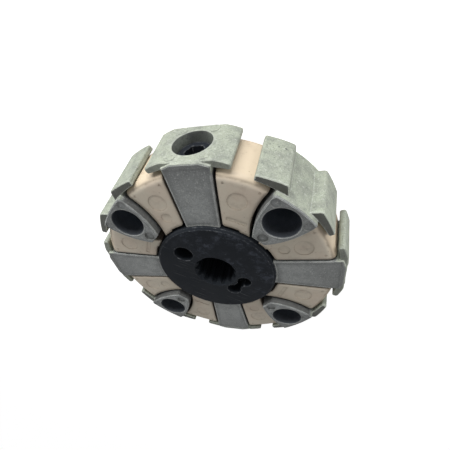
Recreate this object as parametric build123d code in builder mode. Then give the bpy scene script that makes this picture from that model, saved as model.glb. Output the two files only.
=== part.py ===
# Flexible coupling between an engine flywheel and a splined pump shaft.
# The shaft axis is Z. The segments' flywheel faces lie at z = 0, and the pump is above.
# Each piece is drawn with its own radius along X and then turned to its place.
# Lengths are in millimetres and angles in degrees.

from build123d import *
from math import asin, cos, degrees, radians, sin, sqrt, tan
import os

# Rim and layout
arm_count = 4
bolt_circle_radius = 100.0
rim_beyond_bolts = 27.5
cap_thickness = 7.0
wing_thickness = 8.7

# Axial lengths, all centred on the same middle plane
segment_length = 66.0
arm_length = 53.0
cap_length = 49.0
block_length = 52.0
hub_length = 60.0

# Hub
hub_radius = 62.0
hub_edge_chamfer = 2.0
spline_teeth = 13
spline_tip_radius = 19.4
spline_root_radius = 22.2
spline_pitch_radius = 20.64
spline_space_width = 5.0
spline_flank_angle = 30.0
spline_tooth_direction = -37.0
spline_lead_in = 0.8
puller_hole_radius = 9.95
puller_hole_circle = 38.6
puller_hole_direction = 136.5
twin_hole_radius = 7.5
twin_hole_circle = 32.0
twin_hole_half_spread = 17.0
twin_neck_width = 8.0
twin_hole_depth = 17.0

# Radial arm
arm_root_half_width = 16.4
arm_rim_half_width = 21.0
arm_crown_half_width = 12.0
arm_crown_depth = 0.9
arm_shoulder_drop = 3.1
arm_edge_radius = 1.0
arm_brow_width = 4.1
arm_brow_height = 0.5
cap_half_angle = 16.7
cap_curve_radius = 90.0
cap_flat_drop = 2.0
cap_end_radius = 2.2
cap_edge_chamfer = 1.0
pad_root_depth = 2.0
pad_radius = 4.8
pad_height = 0.4
pad_spread = 28.0
pad_length_spread = 37.0

# Radial screw and its holes
screw_head_radius = 15.0
screw_head_height = 20.0
screw_shank_radius = 10.0
screw_length = 60.0
screw_socket_width = 17.0
screw_socket_depth = 10.0
screw_head_chamfer = 1.0
screw_head_recess = 8.0
screw_head_clearance = 2.0
screw_shank_clearance = 0.75
thread_clearance = 0.1
thread_end_clearance = 4.0

# Flywheel segment
segment_hub_gap = 7.7
segment_back_drop = 7.4
segment_back_half_width = 22.5
segment_flank_radius = 77.0
segment_flank_drop = 11.9
segment_draft = 1.5
segment_corner_radius = 2.0
segment_edge_chamfer = 0.8
wing_end_gap = 6.5
wing_half_angle = 19.7
wing_tip_drop = 3.5
wing_end_radius = 1.6
wing_edge_chamfer = 0.7
wing_foot_half_width = 12.0
wing_crest_half_width = 17.6
wing_shoulder_radius = 3.5
wing_root_depth = 4.0
bolt_head_radius = 15.0
bolt_head_clearance = 0.6
bolt_head_depth = 40.0
bolt_mouth_chamfer = 0.8
tip_mark_radius = 5.0
tip_mark_depth = 1.5
tip_mark_distance = 6.9
corner_mark_radius = 4.2
corner_mark_depth = 0.5
corner_mark_inset = 7.8
corner_mark_side = 17.0

# Elastic block, with the mould's marks on both faces
block_arm_gap = 2.6
block_segment_gap = 2.4
block_wing_gap = 0.8
block_hub_gap = 3.0
block_lip_height = 1.5
block_lip_angle = 31.0
block_corner_radius = 3.0
block_rim_corner_radius = 5.0
block_edge_radius = 7.0
mark_depth = 0.35
large_mark_radius = 8.5
large_mark_place = (87.8, 35.6)
small_mark_radius = 5.1
small_mark_place = (70.7, 32.6)
plate_mark_length = 18.2
plate_mark_width = 3.6
plate_mark_circle = 74.0
plate_mark_direction = 25.5
arrow_mark_radius = 1.4
arrow_mark_places = [(95.5, 54.6), (106.3, 27.0)]

# Overlaps by which a cut or a joined piece passes its neighbour's surface
tip_overrun = 1.0
seat_overrun = 4.0

# Places worked out from the driving dimensions
mid_height = segment_length / 2
arm_pitch = 360 / arm_count
segment_direction = arm_pitch / 2
rim_radius = bolt_circle_radius + rim_beyond_bolts
under_cap_radius = rim_radius - cap_thickness
under_wing_radius = rim_radius - wing_thickness
cap_flat_radius = rim_radius - cap_flat_drop
cap_flat_half_width = sqrt(rim_radius**2 - cap_flat_radius**2)
screw_recess_radius = screw_head_radius + screw_head_clearance
bolt_recess_radius = bolt_head_radius + bolt_head_clearance
shank_hole_radius = screw_shank_radius + screw_shank_clearance
screw_seat_radius = cap_flat_radius - screw_head_recess - screw_head_height
screw_tip_radius = screw_seat_radius - screw_length
segment_tip_radius = hub_radius + segment_hub_gap
segment_back_radius = rim_radius - segment_back_drop
segment_flank_centre = rim_radius - segment_flank_drop
flank_centre_side = segment_flank_radius - segment_back_half_width
block_outer_radius = under_wing_radius - block_wing_gap
block_inner_radius = hub_radius + block_hub_gap


def polar(radius, angle):
    """The point at a radius and an angle from X."""
    return (radius * cos(radians(angle)), radius * sin(radians(angle)))


def base_of(length):
    """The height at which a piece of this length starts."""
    return mid_height - length / 2


def end_edges(part, beyond):
    """The edges of a part's two end faces that lie further out along X than a radius."""
    edges = part.faces().filter_by(Axis.Z).edges()
    return edges.filter_by(lambda edge: (edge @ 0.5).X > beyond)


def save(shape, name):
    """Label one finished piece and write it."""
    shape.label = name
    export_step(shape, f"parts/{name}.step")


def save_turned(shape, name, first_angle):
    """Write a copy of a piece at each arm pitch, numbered from one."""
    for index in range(arm_count):
        save(shape.rotate(Axis.Z, first_angle + index * arm_pitch), f"{name}_{index + 1}")


os.makedirs("parts", exist_ok=True)

# Hub: a steel disc with a splined bore
hub_top = base_of(hub_length) + hub_length
lead_in_radius = spline_root_radius + spline_lead_in
lead_in_depth = lead_in_radius - spline_tip_radius
flank_slope = tan(radians(spline_flank_angle))
twin_neck_circle = twin_hole_circle * cos(radians(twin_hole_half_spread))
twin_neck_length = 2 * twin_hole_circle * sin(radians(twin_hole_half_spread))


def space_half_width(radius):
    """Half the width of a spline space at a radius; it narrows outwards."""
    return spline_space_width / 2 + (spline_pitch_radius - radius) * flank_slope


with BuildPart() as hub:
    with BuildSketch(Plane.XY.offset(base_of(hub_length))):
        Circle(hub_radius)
        Circle(spline_tip_radius, mode=Mode.SUBTRACT)
        space_inner = spline_tip_radius - tip_overrun
        first_space = spline_tooth_direction + 180 / spline_teeth
        with PolarLocations(0, spline_teeth, start_angle=first_space):
            Polygon(
                (space_inner, -space_half_width(space_inner)),
                (spline_root_radius, -space_half_width(spline_root_radius)),
                (spline_root_radius, space_half_width(spline_root_radius)),
                (space_inner, space_half_width(space_inner)),
                align=None,
                mode=Mode.SUBTRACT,
            )
    extrude(amount=hub_length)
    rim_edges = hub.edges().filter_by(
        lambda edge: edge.geom_type == GeomType.CIRCLE and edge.radius > spline_root_radius
    )
    chamfer(rim_edges, hub_edge_chamfer)
    with BuildSketch(Plane.XZ):
        for height, inward in ((hub_top, -lead_in_depth), (base_of(hub_length), lead_in_depth)):
            Polygon(
                (0, height),
                (lead_in_radius, height),
                (spline_tip_radius, height + inward),
                (0, height + inward),
                align=None,
            )
    revolve(axis=Axis.Z, mode=Mode.SUBTRACT)
    with Locations(Plane.XY.offset(hub_top)):
        with Locations(polar(puller_hole_circle, puller_hole_direction)):
            Hole(puller_hole_radius)
    with BuildSketch(Plane.XY.offset(hub_top)):
        opposite = puller_hole_direction - 180
        for spread in (-twin_hole_half_spread, twin_hole_half_spread):
            with Locations(polar(twin_hole_circle, opposite + spread)):
                Circle(twin_hole_radius)
        with Locations(Location((*polar(twin_neck_circle, opposite), 0), (0, 0, opposite + 90))):
            SlotCenterToCenter(twin_neck_length, twin_neck_width)
    extrude(amount=-twin_hole_depth, mode=Mode.SUBTRACT)
    thread_depth = hub_radius - screw_tip_radius + thread_end_clearance
    for index in range(arm_count):
        outward = Vector(*polar(1, index * arm_pitch), 0)
        seat = outward * hub_radius + Vector(0, 0, mid_height)
        with Locations(Plane(origin=seat, z_dir=outward)):
            Hole(screw_shank_radius + thread_clearance, depth=thread_depth)
save(hub.part, "hub")

# Radial arm: a tapered web under a curved cap, bolted to the hub's rim
arm_slope = (arm_rim_half_width - arm_root_half_width) / (rim_radius - hub_radius)


def arm_half_width(radius):
    """Half the width of an arm's web at a distance from the shaft."""
    return arm_root_half_width + arm_slope * (radius - hub_radius)


cap_curve_centre = cap_flat_radius - sqrt(cap_curve_radius**2 - cap_flat_half_width**2)
cap_plane = Plane(origin=(cap_flat_radius, 0, mid_height), x_dir=(0, 1, 0), z_dir=(1, 0, 0))
with BuildPart() as arm_cap:
    with BuildSketch(Plane.XY.offset(base_of(cap_length))) as cap_outline:
        with Locations((cap_curve_centre, 0)):
            Circle(cap_curve_radius)
        Circle(under_cap_radius, mode=Mode.SUBTRACT)
        cap_tip = polar(rim_radius, cap_half_angle)
        Polygon(
            (0, 0),
            (rim_radius, -rim_radius * cap_tip[1] / cap_tip[0]),
            (rim_radius, rim_radius * cap_tip[1] / cap_tip[0]),
            align=None,
            mode=Mode.INTERSECT,
        )
        with Locations((cap_flat_radius, 0)):
            Rectangle(
                cap_curve_radius,
                2 * cap_flat_half_width,
                align=(Align.MIN, Align.CENTER),
                mode=Mode.SUBTRACT,
            )
        side_ends = cap_outline.vertices().sort_by(Axis.Y)
        fillet(side_ends[:2] + side_ends[-2:], cap_end_radius)
    extrude(amount=cap_length)
    chamfer(end_edges(arm_cap, under_cap_radius), cap_edge_chamfer)

with BuildPart() as radial_arm:
    with BuildSketch(Plane.XY.offset(base_of(arm_length))) as web_outline:
        web_inner = hub_radius - seat_overrun
        crown_radius = cap_flat_radius - arm_crown_depth
        shoulder_radius = crown_radius - arm_shoulder_drop
        Polygon(
            (web_inner, -arm_half_width(web_inner)),
            (shoulder_radius, -arm_half_width(shoulder_radius)),
            (crown_radius, -arm_crown_half_width),
            (crown_radius, arm_crown_half_width),
            (shoulder_radius, arm_half_width(shoulder_radius)),
            (web_inner, arm_half_width(web_inner)),
            align=None,
        )
        Circle(hub_radius, mode=Mode.SUBTRACT)
    extrude(amount=arm_length)
    fillet(end_edges(radial_arm, hub_radius + seat_overrun), arm_edge_radius)
    brow_length = arm_length + 2 * arm_brow_height
    with BuildSketch(Plane.XY.offset(base_of(brow_length))):
        offset(web_outline.sketch.face(), amount=-arm_edge_radius)
        with Locations((crown_radius - arm_brow_width, 0)):
            Rectangle(
                arm_brow_width,
                2 * arm_rim_half_width,
                align=(Align.MIN, Align.CENTER),
                mode=Mode.INTERSECT,
            )
    extrude(amount=brow_length)
    add(arm_cap.part)
    with BuildSketch(cap_plane.offset(-pad_root_depth)):
        with GridLocations(pad_spread, pad_length_spread, 2, 2):
            Circle(pad_radius)
    extrude(amount=pad_root_depth + pad_height)
    with Locations(cap_plane):
        CounterBoreHole(
            shank_hole_radius,
            screw_recess_radius,
            screw_head_recess + screw_head_height,
        )
save_turned(radial_arm.part, "radial_arm", 0)

# Radial screw: socket head, seated in the arm and threaded into the hub
screw_plane = Plane(origin=(screw_seat_radius, 0, mid_height), x_dir=(0, 1, 0), z_dir=(1, 0, 0))
with BuildPart() as radial_screw:
    with BuildSketch(screw_plane):
        Circle(screw_head_radius)
    extrude(amount=screw_head_height)
    head_rim = radial_screw.edges().sort_by(Axis.X)[-1]
    chamfer(head_rim, screw_head_chamfer)
    with BuildSketch(screw_plane):
        Circle(screw_shank_radius)
    extrude(amount=-screw_length)
    with BuildSketch(screw_plane.offset(screw_head_height)):
        RegularPolygon(screw_socket_width / 2, 6, major_radius=False)
    extrude(amount=-screw_socket_depth, mode=Mode.SUBTRACT)
save_turned(radial_screw.part, "radial_screw", 0)

# Flywheel segment: a wedge between two large arcs, with a bolt hole and two wings
tip_mark_circle = segment_tip_radius + tip_mark_distance
corner_mark_circle = segment_back_radius - corner_mark_inset
crest_angle = degrees(asin(wing_crest_half_width / rim_radius))
crest = polar(rim_radius, crest_angle)
wing_tip_outer = polar(rim_radius - wing_tip_drop, wing_half_angle)
wing_tip_inner = polar(under_wing_radius, wing_half_angle)
wing_root_radius = segment_back_radius - wing_root_depth
wing_slope = (wing_crest_half_width - wing_foot_half_width) / (crest[0] - segment_back_radius)
wing_root_side = wing_foot_half_width - wing_slope * wing_root_depth
draft_loss = segment_length / 2 * tan(radians(segment_draft))
wing_length = segment_length - 2 * wing_end_gap
neck_angle = degrees(asin((segment_back_half_width - draft_loss) / under_wing_radius))
with BuildPart() as wing:
    with BuildSketch(Plane.XY.offset(base_of(wing_length))) as wing_outline:
        with BuildLine():
            ThreePointArc(
                crest,
                polar(rim_radius - wing_tip_drop / 2, (crest_angle + wing_half_angle) / 2),
                wing_tip_outer,
            )
            Line(wing_tip_outer, wing_tip_inner)
            ThreePointArc(
                wing_tip_inner,
                polar(under_wing_radius, (neck_angle + wing_half_angle) / 2),
                polar(under_wing_radius, neck_angle),
            )
            Polyline(
                polar(under_wing_radius, neck_angle),
                (wing_root_radius, wing_crest_half_width),
                (wing_root_radius, wing_root_side),
                crest,
            )
        make_face()
        fillet(wing_outline.vertices().sort_by_distance(crest)[0], wing_shoulder_radius)
        fillet(wing_outline.vertices().sort_by(Axis.Y)[-2:], wing_end_radius)
    extrude(amount=wing_length)
    chamfer(end_edges(wing, segment_back_radius), wing_edge_chamfer)

with BuildPart() as flywheel_segment:
    with BuildSketch(Plane.XY.offset(mid_height)) as wedge_outline:
        Circle(segment_back_radius)
        with Locations((segment_flank_centre, -flank_centre_side)):
            Circle(segment_flank_radius, mode=Mode.INTERSECT)
        with Locations((segment_flank_centre, flank_centre_side)):
            Circle(segment_flank_radius, mode=Mode.INTERSECT)
        with Locations((segment_tip_radius, 0)):
            Rectangle(
                segment_back_radius,
                rim_radius,
                align=(Align.MIN, Align.CENTER),
                mode=Mode.INTERSECT,
            )
        fillet(wedge_outline.vertices(), segment_corner_radius)
    extrude(amount=segment_length / 2, both=True, taper=segment_draft)
    wedge_ends = flywheel_segment.faces().filter_by(Axis.Z)
    chamfer(wedge_ends.edges(), segment_edge_chamfer)
    add(wing.part)
    mirror(wing.part, about=Plane.XZ)
    with Locations((bolt_circle_radius, 0, segment_length)):
        CounterBoreHole(shank_hole_radius, bolt_recess_radius, bolt_head_depth)
    top_face = flywheel_segment.faces().filter_by(Axis.Z).sort_by(Axis.Z)[-1]
    chamfer(top_face.inner_wires()[0].edges(), bolt_mouth_chamfer)
    with BuildSketch(Plane.XY.offset(segment_length)):
        with Locations((tip_mark_circle, 0)):
            Circle(tip_mark_radius)
    extrude(amount=-tip_mark_depth, mode=Mode.SUBTRACT)
    with BuildSketch(Plane.XY.offset(segment_length)):
        with Locations((corner_mark_circle, -corner_mark_side), (corner_mark_circle, corner_mark_side)):
            Circle(corner_mark_radius)
    extrude(amount=-corner_mark_depth, mode=Mode.SUBTRACT)
save_turned(flywheel_segment.part, "flywheel_segment", segment_direction)

# Elastic block: fills the space from an arm to the next segment, with a little play
block_base = base_of(block_length)
with BuildPart() as elastic_block:
    with BuildSketch(Plane.XY.offset(block_base)) as block_outline:
        Circle(block_outer_radius)
        Circle(block_inner_radius - block_lip_height, mode=Mode.SUBTRACT)
        Polygon(
            (0, arm_half_width(0) + block_arm_gap),
            (rim_radius, arm_half_width(rim_radius) + block_arm_gap),
            (rim_radius, rim_radius),
            (0, rim_radius),
            align=None,
            mode=Mode.INTERSECT,
        )
        with BuildLine():
            Line((0, 0), (block_inner_radius, 0))
            CenterArc((0, 0), block_inner_radius, 0, block_lip_angle)
            Line(polar(block_inner_radius, block_lip_angle), (0, 0))
        make_face(mode=Mode.SUBTRACT)
        with PolarLocations(0, 1, start_angle=segment_direction):
            with Locations((segment_flank_centre, flank_centre_side)):
                Circle(segment_flank_radius + block_segment_gap, mode=Mode.SUBTRACT)
        by_side = block_outline.vertices().sort_by(Axis.Y)
        fillet([by_side[0], by_side[-1]], block_corner_radius)
        fillet(by_side[1], block_rim_corner_radius)
    extrude(amount=block_length)
    with BuildSketch(Plane.XZ) as rounding_section:
        with Locations((0, mid_height)):
            Rectangle(block_outer_radius, block_length, align=(Align.MIN, Align.CENTER))
        fillet(rounding_section.vertices().group_by(Axis.X)[-1], block_edge_radius)
    revolve(axis=Axis.Z, mode=Mode.INTERSECT)
    for height, depth in ((block_base, mark_depth), (block_base + block_length, -mark_depth)):
        with BuildSketch(Plane.XY.offset(height)):
            with Locations(large_mark_place):
                Circle(large_mark_radius)
            with Locations(arrow_mark_places):
                RegularPolygon(arrow_mark_radius, 3)
        extrude(amount=depth, mode=Mode.SUBTRACT)
    with BuildSketch(Plane.XY.offset(block_base + block_length)):
        with Locations(small_mark_place):
            Circle(small_mark_radius)
    extrude(amount=-mark_depth, mode=Mode.SUBTRACT)
    with BuildSketch(Plane.XY.offset(block_base)):
        with PolarLocations(plate_mark_circle, 1, start_angle=plate_mark_direction):
            Rectangle(plate_mark_width, plate_mark_length)
    extrude(amount=mark_depth, mode=Mode.SUBTRACT)
upturned_block = elastic_block.part.rotate(Axis((0, 0, mid_height), (1, 0, 0)), 180)
for index in range(arm_count):
    block_turn = index * arm_pitch
    save(elastic_block.part.rotate(Axis.Z, block_turn), f"elastic_block_{2 * index + 1}")
    save(upturned_block.rotate(Axis.Z, block_turn + arm_pitch), f"elastic_block_{2 * index + 2}")
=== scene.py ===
# The looks of a flexible pump drive coupling: finishes, floor, light and camera.
# Lengths are in metres, in the part's own frame: the shaft axis is Z, the middle of the
# first radial arm is on +X, and the segments' flywheel faces lie on the floor at Z = 0.

import math

import bpy
from mathutils import Matrix, Vector


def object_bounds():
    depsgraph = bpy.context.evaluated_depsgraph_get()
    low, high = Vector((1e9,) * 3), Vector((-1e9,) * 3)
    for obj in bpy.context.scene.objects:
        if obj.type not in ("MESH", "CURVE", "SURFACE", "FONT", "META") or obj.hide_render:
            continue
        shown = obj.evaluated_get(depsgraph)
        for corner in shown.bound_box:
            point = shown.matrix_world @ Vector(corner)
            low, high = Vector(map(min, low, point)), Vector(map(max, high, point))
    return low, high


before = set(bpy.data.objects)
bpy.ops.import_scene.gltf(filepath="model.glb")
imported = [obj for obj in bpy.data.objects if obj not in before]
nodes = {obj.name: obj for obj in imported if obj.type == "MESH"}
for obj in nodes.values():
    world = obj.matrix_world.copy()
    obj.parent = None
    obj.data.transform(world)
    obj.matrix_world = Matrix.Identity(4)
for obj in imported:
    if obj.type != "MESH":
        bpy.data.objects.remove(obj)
cad_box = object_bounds()
floor_height = cad_box[0].z

# Camera, fitted to the photograph
image_size = 450
focal_length_px = 327.0
axis_pixel = (204.8, 292.9)
sensor_width_mm = 36.0
camera_place = Vector((0.1012, 0.2568, 0.2631))
camera_target = Vector((-0.0192, -0.0351, 0.066))
camera_roll = -163.3
clip_distances = (0.01, 50)

# Floor and world
floor_half_width = 60.0
floor_colour = (0.8, 0.8, 0.8, 1)
floor_glow = 0.77
world_colour = (1, 1, 1, 1)
world_strength = 0.36

# Places on the part that the finishes follow. A band is where an effect starts and where
# it is full; a mark is its distance from the shaft, distance aside and radius; a pit is
# its place and size.
middle_height = 0.033
bolt_axis_side = 0.0707
bore_radius = 0.0157
bore_depth_band = (0.062, 0.040)
recess_radius = 0.0171
hole_edge_softness = 0.0002
tip_mark = (0.0766, 0.0, 0.0050)
corner_mark = (0.1123, 0.0170, 0.0042)
mark_edge_band = (0.0011, 0.0005)
mark_depth = 0.0030
pits = [
    (0.0650, 0.1080, 0.0179, 0.0011),
    (0.0704, 0.1056, 0.0178, 0.0014),
    (0.0676, 0.1070, 0.0205, 0.0006),
]
cast_rim_band = (0.1150, 0.1185)
# Over this band the edges' scuffs and painted highlight drop to the rim's share
cast_rim_wear_and_highlight_band = (0.1140, 0.1160)
# Painted shade: the cast faces grow darker towards the rim over this band
cast_outward_shade_band = (0.080, 0.120)
elastomer_rim_band = (0.1115, 0.1165)
elastomer_gap_height = 0.0580
gap_inner_band = (0.1165, 0.1135)
gap_foot_band = (0.0005, 0.0015)
gap_fade = 0.0012
gap_raggedness = 0.0015
spline_band = (0.022, 0.026)
# The black steel's smear and painted sheen lie on the half beyond this band
smear_and_sheen_band = (-0.02, 0.05)

# Sizes of the patterns in the finishes
sand_size = 0.0013
grain_size = 0.0026
blotch_size = 0.011
cloud_size = 0.045
hub_turning_pitch = 0.0006
screw_turning_pitch = 0.0004

# Colours of the finishes, linear
aluminium = (0.244, 0.255, 0.252)
aluminium_dark = (0.10, 0.105, 0.105)
aluminium_bright = (0.60, 0.62, 0.585)
rim_tint = (0.33, 0.36, 0.285)
# Painted shade in holes and pits, and painted light deeper in the bolt holes
painted_cavity_shade = (0.028, 0.033, 0.042)
painted_hole_light = (0.12, 0.14, 0.175)
# Dirt and painted shade in the gaps and along the edges of the marks
gap_dirt_and_shade = (0.035, 0.034, 0.032)
elastomer = (0.565, 0.510, 0.415)
elastomer_pink = (0.575, 0.490, 0.395)
elastomer_rim = (0.545, 0.455, 0.335)
elastomer_dirt = (0.16, 0.09, 0.05)
# Grime and painted shade in the elastomer's gaps
gap_grime_and_shade = (0.060, 0.040, 0.028)
black_oxide = (0.0160, 0.0187, 0.0228)
# Smear and painted sheen on one half of the black steel
black_oxide_smear_and_sheen = (0.055, 0.062, 0.078)
bare_steel = (0.30, 0.31, 0.32)


def add_node(tree, kind, inputs=None, **settings):
    """A new node in a tree; an input is a value or another node's output."""
    node = tree.nodes.new(kind)
    for key, value in settings.items():
        setattr(node, key, value)
    for key, value in (inputs or {}).items():
        join(tree, value, node.inputs[key])
    return node


def join(tree, value, socket):
    """Links another node's output to a socket, or sets the socket to a value."""
    if isinstance(value, bpy.types.NodeSocket):
        tree.links.new(value, socket)
    else:
        socket.default_value = value


class Finish:
    """A procedural material: short calls that add its nodes and join them."""

    def __init__(self, name):
        self.material = bpy.data.materials.new(name)
        self.material.use_nodes = True
        self.tree = self.material.node_tree
        self.shader = self.tree.nodes["Principled BSDF"]
        self.place = self.add("ShaderNodeTexCoord").outputs["Object"]

    def add(self, kind, inputs=None, **settings):
        """A new node of this material."""
        return add_node(self.tree, kind, inputs, **settings)

    def set(self, **inputs):
        """Sets or joins the shader's own inputs, named with underscores."""
        for key, value in inputs.items():
            join(self.tree, value, self.shader.inputs[key.replace("_", " ")])

    def math(self, operation, *values):
        """One calculation on numbers."""
        return self.add("ShaderNodeMath", dict(enumerate(values)), operation=operation).outputs[0]

    def times(self, first, *others):
        """Two or more values multiplied."""
        for other in others:
            first = self.math("MULTIPLY", first, other)
        return first

    def without(self, share):
        """What a share leaves of 1."""
        return self.math("SUBTRACT", 1.0, share)

    def length(self, *sides):
        """The length of the diagonal over two or three sides at right angles."""
        total = self.math("MULTIPLY", sides[0], sides[0])
        for side in sides[1:]:
            total = self.math("MULTIPLY_ADD", side, side, total)
        return self.math("SQRT", total)

    def between(self, value, low, high, out_low=0.0, out_high=1.0):
        """A value spread smoothly from low and high to a new range, and held there."""
        inputs = {
            "Value": value,
            "From Min": low,
            "From Max": high,
            "To Min": out_low,
            "To Max": out_high,
        }
        node = self.add("ShaderNodeMapRange", inputs, interpolation_type="SMOOTHSTEP")
        return node.outputs["Result"]

    def mix(self, share, first, second):
        """Two colours mixed by a share of the second from 0 to 1."""
        node = self.add("ShaderNodeMix", data_type="RGBA")
        join(self.tree, share, node.inputs[0])
        for key, colour in ((6, first), (7, second)):
            value = (*colour, 1.0) if isinstance(colour, tuple) else colour
            join(self.tree, value, node.inputs[key])
        return node.outputs[2]

    def noise(self, size, detail=4.0, roughness=0.6, stretch=None, turn=0.0):
        """Cloudy noise from 0 to 1 whose largest lumps are about size metres."""
        where = self.place
        if stretch:
            turned = self.add("ShaderNodeMapping", {"Vector": where, "Rotation": (0, 0, turn)})
            stretched = {"Vector": turned.outputs[0], "Scale": stretch}
            where = self.add("ShaderNodeMapping", stretched).outputs[0]
        inputs = {"Vector": where, "Scale": 1 / size, "Detail": detail, "Roughness": roughness}
        return self.add("ShaderNodeTexNoise", inputs).outputs["Fac"]

    def cells(self, size):
        """The distance to the nearest of many scattered points, as a share of size."""
        node = self.add("ShaderNodeTexVoronoi", {"Vector": self.place, "Scale": 1 / size})
        return node.outputs["Distance"]

    def split(self):
        """The X, Y and Z of the place."""
        node = self.add("ShaderNodeSeparateXYZ", {"Vector": self.place})
        return node.outputs[0], node.outputs[1], node.outputs[2]

    def height(self):
        """The height above the floor."""
        return self.split()[2]

    def radius(self):
        """The distance from the shaft axis."""
        x, y, _ = self.split()
        return self.length(x, y)

    def normal(self):
        """The direction of the face, with no rounding or bump."""
        return self.add("ShaderNodeNewGeometry").outputs["Normal"]

    def upright(self, low, high):
        """1 on faces that look up and 0 on the others."""
        parts = self.add("ShaderNodeSeparateXYZ", {"Vector": self.normal()})
        return self.between(parts.outputs[2], low, high)

    def rounded(self, radius, samples):
        """A normal that rounds the edges off."""
        return self.add("ShaderNodeBevel", {"Radius": radius}, samples=samples).outputs[0]

    def edges(self, radius, low, high):
        """1 on sharp edges and 0 on flat faces, found within a radius."""
        inputs = {0: self.rounded(radius, samples=6), 1: self.normal()}
        turn = self.add("ShaderNodeVectorMath", inputs, operation="DOT_PRODUCT").outputs["Value"]
        return self.between(self.without(turn), low, high)

    def bump(self, height, depth, normal=None):
        """A bump map: height from 0 to 1 stands for depth metres."""
        inputs = {"Height": height, "Distance": depth}
        if normal:
            inputs["Normal"] = normal
        return self.add("ShaderNodeBump", inputs).outputs[0]


def bore_mask(f):
    """1 inside the segments' bolt holes, and how far up in them, as a share of light.
    The holes get painted shade, and the share is painted light.
    """
    x, y, z = f.split()
    along = f.math("SUBTRACT", f.math("ABSOLUTE", x), bolt_axis_side)
    across = f.math("SUBTRACT", f.math("ABSOLUTE", y), bolt_axis_side)
    away = f.length(along, across)
    hole = f.between(away, bore_radius + hole_edge_softness, bore_radius)
    return hole, f.between(z, *bore_depth_band)


def recess_mask(f):
    """A half shade inside the arms' recesses for the screw heads, and their share of light."""
    shade, light = 0.45, 0.2
    x, y, z = f.split()
    across = f.math("MINIMUM", f.math("ABSOLUTE", x), f.math("ABSOLUTE", y))
    above = f.math("SUBTRACT", z, middle_height)
    away = f.length(across, above)
    hole = f.between(away, recess_radius + hole_edge_softness, recess_radius, 0.0, shade)
    return hole, light


def mark_mask(f):
    """1 in and just around the round casting marks on the segments' faces."""
    x, y, _ = f.split()
    x, y = f.math("ABSOLUTE", x), f.math("ABSOLUTE", y)
    out = f.times(f.math("ADD", x, y), math.sqrt(0.5))
    aside = f.times(f.math("ABSOLUTE", f.math("SUBTRACT", x, y)), math.sqrt(0.5))
    start, full = mark_edge_band
    masks = []
    for circle, side, radius in (tip_mark, corner_mark):
        away = f.length(f.math("SUBTRACT", out, circle), f.math("SUBTRACT", aside, side))
        masks.append(f.between(away, radius + start, radius + full))
    return f.math("MAXIMUM", *masks)


def gap_dirt_and_shade_mask(f, height):
    """1 inside the rim below a height, with a ragged limit, and 0 on top faces and rim.
    Dirt and painted shade go there.
    """
    z = f.height()
    ragged = f.math("SUBTRACT", z, f.times(f.noise(0.006), gap_raggedness))
    low = f.between(ragged, height, height - gap_fade)
    high = f.between(z, *gap_foot_band)
    inner = f.between(f.radius(), *gap_inner_band)
    return f.times(low, high, inner)


def pit_mask(f):
    """1 in the casting pits and 0 elsewhere, with ragged edges."""
    ragged = f.noise(0.0012, detail=3.0)
    total = None
    for *middle, size in pits:
        sides = [f.math("SUBTRACT", side, value) for side, value in zip(f.split(), middle)]
        away = f.math("MULTIPLY_ADD", ragged, size, f.length(*sides))
        pit = f.between(away, 1.5 * size, 0.9 * size)
        total = f.math("MAXIMUM", total, pit) if total else pit
    return total


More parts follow.
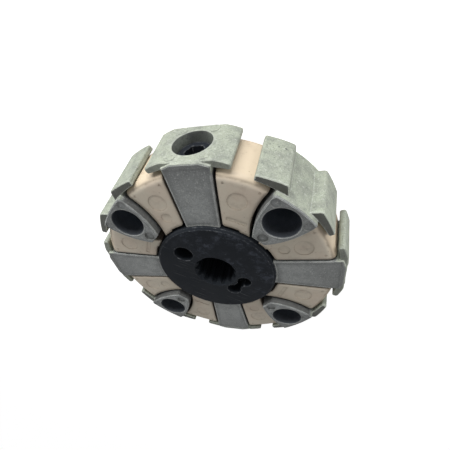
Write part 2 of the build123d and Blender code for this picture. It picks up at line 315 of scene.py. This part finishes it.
def cast_finish(name, hole_mask, face_height, gap_height, rim_wear_and_highlight, end_shade, edge_width):
    """Sand-cast aluminium, with grain, stains, painted shade in the holes, and edges scuffed
    bright and given a painted highlight.

    The rim is tinted lighter and greener below face_height; its edges are scuffed and given a
    painted highlight by a share of rim_wear_and_highlight. Its ends that look up are darker by
    end_shade. Walls in the gaps get dirt and painted shade below gap_height. The bright lines
    of scuffs and painted highlight lie along edges, within edge_width, with a line of painted
    shade beside them.
    """
    f = Finish(name)
    sand = f.noise(sand_size, detail=4.0, roughness=0.75)
    grain = f.noise(grain_size, detail=5.0, roughness=0.7)
    blotch = f.noise(blotch_size)
    cloud = f.noise(cloud_size, detail=2.0)
    radius, height = f.radius(), f.height()

    upright = f.upright(0.8, 0.95)
    face = f.times(upright, f.between(height, gap_height + 0.0010, gap_height + 0.0015))
    below_face = f.between(height, face_height + 0.0005, face_height - 0.0003)
    rim = f.times(f.between(radius, *cast_rim_band), below_face, f.without(face))
    # Painted shade: the cast faces grow darker towards the rim
    outward_shade = f.between(radius, *cast_outward_shade_band, 0.0, 0.5)
    colour = f.mix(outward_shade, aluminium, aluminium_dark)
    colour = f.mix(f.times(rim, f.between(cloud, 0.25, 0.7, 0.75, 1.0)), colour, rim_tint)

    stains = f.between(blotch, 0.38, 0.72, 0.0, 0.45)
    bright_grain = f.between(grain, 0.52, 0.72, 0.0, 0.3)
    dark_grain = f.between(grain, 0.46, 0.30, 0.0, 0.6)
    bright_sand = f.between(sand, 0.54, 0.72, 0.0, 0.45)
    dark_sand = f.between(sand, 0.46, 0.29, 0.0, 0.7)
    colour = f.mix(stains, colour, aluminium_dark)
    colour = f.mix(bright_grain, colour, aluminium_bright)
    colour = f.mix(dark_grain, colour, aluminium_dark)
    colour = f.mix(bright_sand, colour, aluminium_bright)
    colour = f.mix(dark_sand, colour, aluminium_dark)

    edge = f.edges(edge_width, low=0.02, high=0.16)
    beside_edge = f.edges(2 * edge_width + 0.0008, low=0.002, high=0.03)
    # Painted shade: a dark line just inside each edge, as the shaded side of a bead
    bead_shade_line = f.times(beside_edge, f.without(edge), f.without(rim))
    uneven = f.between(blotch, 0.3, 0.6, 0.5, 1.0)
    colour = f.mix(f.times(bead_shade_line, uneven), colour, aluminium_dark)

    marked = f.times(mark_mask(f), f.between(height, face_height - mark_depth, face_height))
    spared = f.without(f.times(marked, 0.6))
    # Scuffs and painted highlight along the edges, less on the rim and in the marks
    scuff_and_highlight_share = f.times(f.between(radius, *cast_rim_wear_and_highlight_band, 1.0, rim_wear_and_highlight), spared)
    bright_edges = f.times(edge, scuff_and_highlight_share, f.between(f.noise(0.004), 0.3, 0.6, 0.3, 0.9))
    # Painted shade along the edges of the round casting marks
    colour = f.mix(f.times(marked, edge, 0.9), colour, gap_dirt_and_shade)
    colour = f.mix(f.times(rim, upright, end_shade), colour, gap_dirt_and_shade)
    colour = f.mix(bright_edges, colour, aluminium_bright)

    pitted = pit_mask(f)
    hole, light = hole_mask(f)
    # Dirt and painted shade on the walls in the gaps
    colour = f.mix(f.times(gap_dirt_and_shade_mask(f, gap_height), 0.7), colour, gap_dirt_and_shade)
    # Painted shade in the casting pits and the holes, with painted light deeper in the bolt holes
    colour = f.mix(f.times(pitted, 0.85), colour, painted_cavity_shade)
    colour = f.mix(f.times(hole, 0.95), colour, f.mix(light, painted_cavity_shade, painted_hole_light))

    lumps = f.bump(blotch, depth=0.0005, normal=f.rounded(radius=0.0005, samples=4))
    lumps = f.bump(grain, depth=0.0004, normal=lumps)
    lumps = f.bump(f.without(pitted), depth=0.0006, normal=lumps)
    f.set(
        Base_Color=colour,
        Metallic=0.22,
        Roughness=f.between(grain, 0.3, 0.7, 0.5, 0.72),
        Normal=f.bump(sand, depth=0.00016, normal=lumps),
    )
    return f.material


def elastomer_finish():
    """Moulded elastomer, matt and faintly mottled, brown at its edges and in its marks."""
    f = Finish("elastomer")
    cloud = f.noise(0.03, detail=3.0)
    patch = f.noise(0.009)
    fine = f.noise(0.0008, detail=3.0)
    colour = f.mix(f.between(cloud, 0.35, 0.7), elastomer, elastomer_pink)
    colour = f.mix(f.between(f.radius(), *elastomer_rim_band), colour, elastomer_rim)

    stains = f.between(patch, 0.5, 0.8, 0.0, 0.22)
    specks = f.times(f.between(f.cells(0.006), 0.16, 0.08, 0.0, 0.35), f.between(patch, 0.45, 0.6))
    colour = f.mix(stains, colour, elastomer_dirt)
    colour = f.mix(specks, colour, elastomer_dirt)

    edge = f.edges(radius=0.003, low=0.07, high=0.25)
    small_edge = f.edges(radius=0.0007, low=0.002, high=0.03)
    dirt = f.times(edge, f.between(f.noise(0.010), 0.42, 0.66))
    mark = f.times(small_edge, f.upright(0.9, 0.99), f.without(edge))
    colour = f.mix(f.times(dirt, 0.2), colour, elastomer_dirt)
    colour = f.mix(f.times(mark, 0.4), colour, elastomer_dirt)
    # Grime and painted shade on the walls in the gaps
    colour = f.mix(f.times(gap_dirt_and_shade_mask(f, elastomer_gap_height), 0.8), colour, gap_grime_and_shade)

    lumps = f.bump(patch, depth=0.0001, normal=f.rounded(radius=0.0045, samples=8))
    f.set(
        Base_Color=colour,
        Roughness=f.between(fine, 0.3, 0.7, 0.5, 0.6),
        Normal=f.bump(fine, depth=0.00006, normal=lumps),
    )
    return f.material


def black_finish(name, turning_pitch):
    """Black oxide steel with faint turning marks, a smear with painted sheen on one half,
    scratches and edges scuffed to bare steel.
    """
    f = Finish(name)
    x, y, _ = f.split()
    # Painted sheen, partly a smear: the upper-right half of the top faces is lighter in patches
    # and specks
    side = f.between(f.math("ADD", x, y), *smear_and_sheen_band)
    smear = f.noise(0.022, detail=5.0, roughness=0.65)
    upright = f.upright(0.9, 0.99)

    patchy = f.between(f.noise(0.007, detail=6.0, roughness=0.75), 0.44, 0.62)
    smear_and_sheen = f.times(side, f.between(smear, 0.40, 0.62), patchy, upright)
    colour = f.mix(smear_and_sheen, black_oxide, black_oxide_smear_and_sheen)

    fine = f.between(f.noise(0.0014, detail=3.0), 0.58, 0.72)
    speckle = f.times(fine, f.between(smear, 0.42, 0.56), side, upright)
    colour = f.mix(f.times(speckle, 0.22), colour, bare_steel)

    streak = f.noise(0.004, detail=2.0, stretch=(0.16, 3.2, 1.0), turn=0.5)
    scratch = f.times(f.between(streak, 0.62, 0.68), f.between(smear, 0.35, 0.6), f.without(side))
    colour = f.mix(f.times(scratch, upright, 0.22), colour, bare_steel)

    outside = f.between(f.radius(), *spline_band, 0.12, 1.0)
    uneven = f.between(f.noise(0.003), 0.48, 0.68, 0.07, 0.7)
    bright_edges = f.times(f.edges(radius=0.0019, low=0.01, high=0.1), uneven, outside)
    colour = f.mix(bright_edges, colour, bare_steel)

    rings = f.math("SINE", f.times(f.radius(), 2 * math.pi / turning_pitch))
    f.set(
        Base_Color=colour,
        Specular_IOR_Level=0.03,
        Roughness=f.between(smear, 0.3, 0.7, 0.36, 0.55),
        Normal=f.bump(f.times(rings, f.noise(0.01)), depth=0.00001),
    )
    return f.material


def dress(prefix, material):
    """Gives one material to every CAD node whose name starts with a prefix."""
    for name, node in nodes.items():
        if name.startswith(prefix):
            for slot in node.material_slots:
                slot.material = material


dress("hub", black_finish("black_steel", hub_turning_pitch))
dress("radial_screw", black_finish("screw_steel", screw_turning_pitch))
arm_finish = cast_finish(
    "cast_aluminium",
    recess_mask,
    face_height=0.0597,
    gap_height=0.0568,
    rim_wear_and_highlight=0.25,
    end_shade=0.45,
    edge_width=0.0044,
)
dress("radial_arm", arm_finish)
segment_finish = cast_finish(
    "cast_aluminium_segment",
    bore_mask,
    face_height=0.0642,
    gap_height=0.0642,
    rim_wear_and_highlight=1.0,
    end_shade=0.85,
    edge_width=0.0018,
)
dress("flywheel_segment", segment_finish)
dress("elastic_block", elastomer_finish())


def make_floor():
    """A wide pale floor that shows white to the camera and keeps the shadow."""
    half = floor_half_width
    corners = [(-half, -half, 0), (half, -half, 0), (half, half, 0), (-half, half, 0)]
    mesh = bpy.data.meshes.new("floor")
    mesh.from_pydata(corners, [], [(0, 1, 2, 3)])
    floor = bpy.data.objects.new("floor", mesh)
    floor.location.z = floor_height
    bpy.context.scene.collection.objects.link(floor)
    material = bpy.data.materials.new("floor")
    material.use_nodes = True
    tree = material.node_tree
    tree.nodes.clear()
    matt = add_node(tree, "ShaderNodeBsdfDiffuse", {"Color": floor_colour})
    camera_ray = add_node(tree, "ShaderNodeLightPath").outputs["Is Camera Ray"]
    seen = add_node(tree, "ShaderNodeMath", {0: camera_ray, 1: floor_glow}, operation="MULTIPLY")
    glow = add_node(tree, "ShaderNodeEmission", {"Strength": seen.outputs[0]})
    total = add_node(tree, "ShaderNodeAddShader", {0: matt.outputs[0], 1: glow.outputs[0]})
    add_node(tree, "ShaderNodeOutputMaterial", {"Surface": total.outputs[0]})
    floor.data.materials.append(material)


def make_world():
    """A plain soft light from all round, white where the camera, a gloss or a glass sees it."""
    world = bpy.data.worlds.new("studio")
    bpy.context.scene.world = world
    world.use_nodes = True
    tree = world.node_tree
    tree.nodes.clear()
    rays = add_node(tree, "ShaderNodeLightPath").outputs
    seen = rays["Is Camera Ray"]
    for kind in ("Is Glossy Ray", "Is Transmission Ray"):
        either = add_node(tree, "ShaderNodeMath", {0: seen, 1: rays[kind]}, operation="MAXIMUM")
        seen = either.outputs[0]
    light = add_node(tree, "ShaderNodeBackground", {"Strength": world_strength})
    white = add_node(tree, "ShaderNodeBackground", {"Color": world_colour})
    parts = {0: seen, 1: light.outputs[0], 2: white.outputs[0]}
    mixed = add_node(tree, "ShaderNodeMixShader", parts)
    add_node(tree, "ShaderNodeOutputWorld", {"Surface": mixed.outputs[0]})


def make_lamp(name, azimuth, elevation, distance, size, level):
    """A soft box aimed at the part; level is the light it gives to a surface that faces it."""
    data = bpy.data.lights.new(name, "AREA")
    data.shape = "RECTANGLE"
    data.size, data.size_y = size
    data.energy = level * math.pi**2 * distance**2
    lamp = bpy.data.objects.new(name, data)
    bpy.context.scene.collection.objects.link(lamp)
    across = math.cos(math.radians(elevation))
    away = Vector((
        across * math.cos(math.radians(azimuth)),
        across * math.sin(math.radians(azimuth)),
        math.sin(math.radians(elevation)),
    ))
    lamp.location = away * distance
    lamp.rotation_mode = "QUATERNION"
    lamp.rotation_quaternion = away.to_track_quat("Z", "Y")


def make_camera():
    """The camera where the photograph was taken from."""
    data = bpy.data.cameras.new("camera")
    camera = bpy.data.objects.new("camera", data)
    bpy.context.scene.collection.objects.link(camera)
    data.sensor_width = sensor_width_mm
    data.lens = sensor_width_mm * focal_length_px / image_size
    data.shift_x = (image_size / 2 - axis_pixel[0]) / image_size
    data.shift_y = (axis_pixel[1] - image_size / 2) / image_size
    data.clip_start, data.clip_end = clip_distances
    back = (camera_place - camera_target).normalized()
    right = Vector((0, 0, 1)).cross(back).normalized()
    up = back.cross(right)
    level = Matrix((right, up, back)).transposed().to_4x4()
    roll = Matrix.Rotation(math.radians(camera_roll), 4, "Z")
    camera.matrix_world = Matrix.Translation(camera_place) @ level @ roll
    bpy.context.scene.camera = camera


make_floor()
make_world()
make_lamp("key", azimuth=100, elevation=9, distance=0.8, size=(0.95, 0.26), level=1.42)
make_lamp("side", azimuth=25, elevation=14, distance=0.38, size=(0.2, 0.15), level=0.30)
make_lamp("fill", azimuth=163, elevation=32, distance=0.34, size=(0.2, 0.2), level=0.085)
make_camera()
bpy.context.scene.view_settings.view_transform = "Standard"
